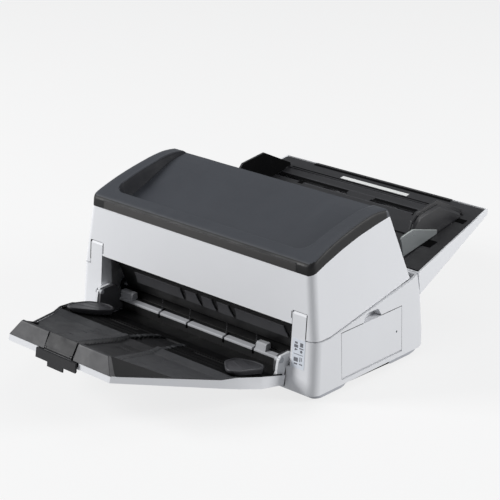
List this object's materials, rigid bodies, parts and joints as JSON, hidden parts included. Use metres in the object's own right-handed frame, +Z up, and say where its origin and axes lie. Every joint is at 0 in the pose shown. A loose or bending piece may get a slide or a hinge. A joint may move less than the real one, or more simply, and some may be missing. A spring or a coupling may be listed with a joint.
{
  "type": "sheet fed document scanner",
  "caption": "Desktop sheet fed scanner: rear paper chute with side guides, hinged upper unit with rollers and glass, and a fold-up output tray at the front.",
  "frame": {"origin": "middle of the object's box in plan, on the table under the feet", "axes": "+X to the right seen from the front, +Y towards the paper chute at the back, +Z up"},
  "size_m": [0.4314, 0.6324, 0.2101],
  "materials": {
    "shell_white": "fine textured, satin",
    "pan_grey": "fine textured",
    "charcoal": "fine textured, satin",
    "band_black": "satin gloss",
    "tray_dark": "fine textured",
    "lip_grey": "fine textured",
    "guide_dark": "smooth satin",
    "fin_clear": "smooked translucent",
    "strip_silver": "satin",
    "rubber": "matt",
    "roller_rubber": "ground matt",
    "steel": "turned",
    "wire": "bright",
    "frame_steel": "zinc plated sheet",
    "glass": "polished",
    "sensor": "matt",
    "board": "solder mask",
    "brass": "turned",
    "label": "printed film",
    "screen": "gloss",
    "lamp": "gloss",
    "button_grey": "satin",
    "scale_ink": "printed"
  },
  "bodies": {
    "base": {"base_housing": "shell_white", "bottom_pan": "pan_grey", "rubber_feet": "rubber", "casing_screws": "steel", "side_frames": "frame_steel", "lower_paper_guide": "guide_dark", "exit_floor": "guide_dark", "exit_strip": "strip_silver", "exit_wires": "wire", "lower_glass": "glass", "lower_image_unit": "sensor", "drive_motor": "frame_steel", "drive_belts": "rubber", "main_board": "board", "power_inlet": "sensor", "data_socket": "steel", "cover_hinge_pins": "steel", "instruction_label": "label", "hopper_shell": "tray_dark", "hopper_tray": "tray_dark", "size_scale": "scale_ink", "stacker_hinge_arms": "guide_dark", "stacker_pivot_pins": "steel", "panel_hinge_pins": "steel"},
    "cover": {"cover_shell": "shell_white", "top_cover": "charcoal", "front_trim": "band_black", "upper_paper_guide": "guide_dark", "upper_side_frames": "frame_steel", "upper_glass": "glass", "upper_image_unit": "sensor"},
    "stacker": {"stacker_shell": "shell_white", "stacker_tray": "tray_dark"},
    "stacker_slide": {"stacker_extension": "lip_grey", "stopper_pin": "steel"},
    "stopper": {"stacker_stopper": "lip_grey"},
    "stacker_guide_l": {"stacker_guide_left": "guide_dark"},
    "stacker_guide_r": {"stacker_guide_right": "guide_dark"},
    "hopper_guide_l": {"hopper_guide_left": "guide_dark", "guide_fin_left": "fin_clear"},
    "hopper_guide_r": {"hopper_guide_right": "guide_dark", "guide_fin_right": "fin_clear"},
    "hopper_slide": {"hopper_extension": "tray_dark"},
    "panel": {"operator_panel": "shell_white", "panel_display": "screen", "power_lamp": "lamp"},
    "scan_key": {"scan_button": "button_grey"},
    "stop_key": {"stop_button": "button_grey"},
    "menu_key": {"menu_button": "button_grey"},
    "power_key": {"power_button": "button_grey"},
    "exit_roller": {"exit_roller_shaft": "steel", "exit_roller_tyres": "roller_rubber"},
    "feed_roller": {"feed_roller_shaft": "steel", "feed_roller_tyres": "roller_rubber"},
    "pick_roller": {"pick_roller_shaft": "steel", "pick_roller_tyres": "roller_rubber"},
    "motor_rotor": {"motor_pulley": "brass"},
    "upper_exit": {"upper_exit_roller": "roller_rubber"},
    "upper_feed": {"upper_feed_roller": "roller_rubber"},
    "brake": {"brake_roller": "roller_rubber"}
  },
  "joints": [
    {"name": "cover_hinge", "type": "hinge", "parent": "base", "child": "cover", "pos_m": [0, -0.0742, 0.096], "axis": [1, 0, 0], "range_deg": [0, 50]},
    {"name": "stacker_hinge", "type": "hinge", "parent": "base", "child": "stacker", "pos_m": [0, -0.0937, 0.048], "axis": [1, 0, 0], "range_deg": [-76, 0]},
    {"name": "stacker_slide_out", "type": "slide", "parent": "stacker", "child": "stacker_slide", "axis": [0, -0.9723, 0.2338], "range_m": [0, 0.09]},
    {"name": "stopper_flip", "type": "hinge", "parent": "stacker_slide", "child": "stopper", "pos_m": [0, -0.3078, 0.0766], "axis": [-1, 0, 0], "range_deg": [0, 74]},
    {"name": "stacker_guide_l_slide", "type": "slide", "parent": "stacker", "child": "stacker_guide_l", "axis": [1, 0, 0], "range_m": [0, 0.06]},
    {"name": "stacker_guide_r_slide", "type": "slide", "parent": "stacker", "child": "stacker_guide_r", "axis": [-1, 0, 0], "range_m": [0, 0.06]},
    {"name": "hopper_guide_l_slide", "type": "slide", "parent": "base", "child": "hopper_guide_l", "axis": [1, 0, 0], "range_m": [0, 0.1]},
    {"name": "hopper_guide_r_slide", "type": "slide", "parent": "base", "child": "hopper_guide_r", "axis": [-1, 0, 0], "range_m": [0, 0.1]},
    {"name": "hopper_slide_out", "type": "slide", "parent": "base", "child": "hopper_slide", "axis": [0, 0.9854, 0.1705], "range_m": [0, 0.08]},
    {"name": "panel_hinge", "type": "hinge", "parent": "base", "child": "panel", "pos_m": [0.2124, -0.0872, 0.0176], "axis": [0, 1, 0], "range_deg": [0, 88]},
    {"name": "scan_press", "type": "slide", "parent": "panel", "child": "scan_key", "axis": [1, 0, 0], "range_m": [0, 0.0008], "stiffness_N_per_m": 400},
    {"name": "stop_press", "type": "slide", "parent": "panel", "child": "stop_key", "axis": [1, 0, 0], "range_m": [0, 0.0008], "stiffness_N_per_m": 400},
    {"name": "menu_press", "type": "slide", "parent": "panel", "child": "menu_key", "axis": [1, 0, 0], "range_m": [0, 0.0008], "stiffness_N_per_m": 400},
    {"name": "power_press", "type": "slide", "parent": "panel", "child": "power_key", "axis": [1, 0, 0], "range_m": [0, 0.0008], "stiffness_N_per_m": 400},
    {"name": "feed_spin", "type": "hinge", "parent": "base", "child": "feed_roller", "pos_m": [0, 0.0468, 0.0656], "axis": [1, 0, 0], "continuous": true},
    {"name": "exit_spin", "type": "hinge", "parent": "base", "child": "exit_roller", "pos_m": [0, -0.0212, 0.0306], "axis": [1, 0, 0], "continuous": true},
    {"name": "pick_spin", "type": "hinge", "parent": "base", "child": "pick_roller", "pos_m": [0, 0.0938, 0.0896], "axis": [1, 0, 0], "continuous": true},
    {"name": "motor_spin", "type": "hinge", "parent": "base", "child": "motor_rotor", "pos_m": [0, 0.0628, 0.034], "axis": [1, 0, 0], "continuous": true},
    {"name": "upper_exit_spin", "type": "hinge", "parent": "cover", "child": "upper_exit", "pos_m": [0, -0.0287, 0.0474], "axis": [1, 0, 0], "continuous": true},
    {"name": "upper_feed_spin", "type": "hinge", "parent": "cover", "child": "upper_feed", "pos_m": [0, 0.0382, 0.0819], "axis": [1, 0, 0], "continuous": true},
    {"name": "brake_spin", "type": "hinge", "parent": "cover", "child": "brake", "pos_m": [0, 0.087, 0.1067], "axis": [1, 0, 0], "continuous": true}
  ],
  "couplings": [
    {"joint": "stacker_guide_r_slide", "follows": "stacker_guide_l_slide", "ratio": 1},
    {"joint": "hopper_guide_r_slide", "follows": "hopper_guide_l_slide", "ratio": 1},
    {"joint": "exit_spin", "follows": "feed_spin", "ratio": 1},
    {"joint": "pick_spin", "follows": "feed_spin", "ratio": 1},
    {"joint": "motor_spin", "follows": "feed_spin", "ratio": 1.6},
    {"joint": "upper_exit_spin", "follows": "feed_spin", "ratio": -1},
    {"joint": "upper_feed_spin", "follows": "feed_spin", "ratio": -1},
    {"joint": "brake_spin", "follows": "feed_spin", "ratio": -1}
  ]
}
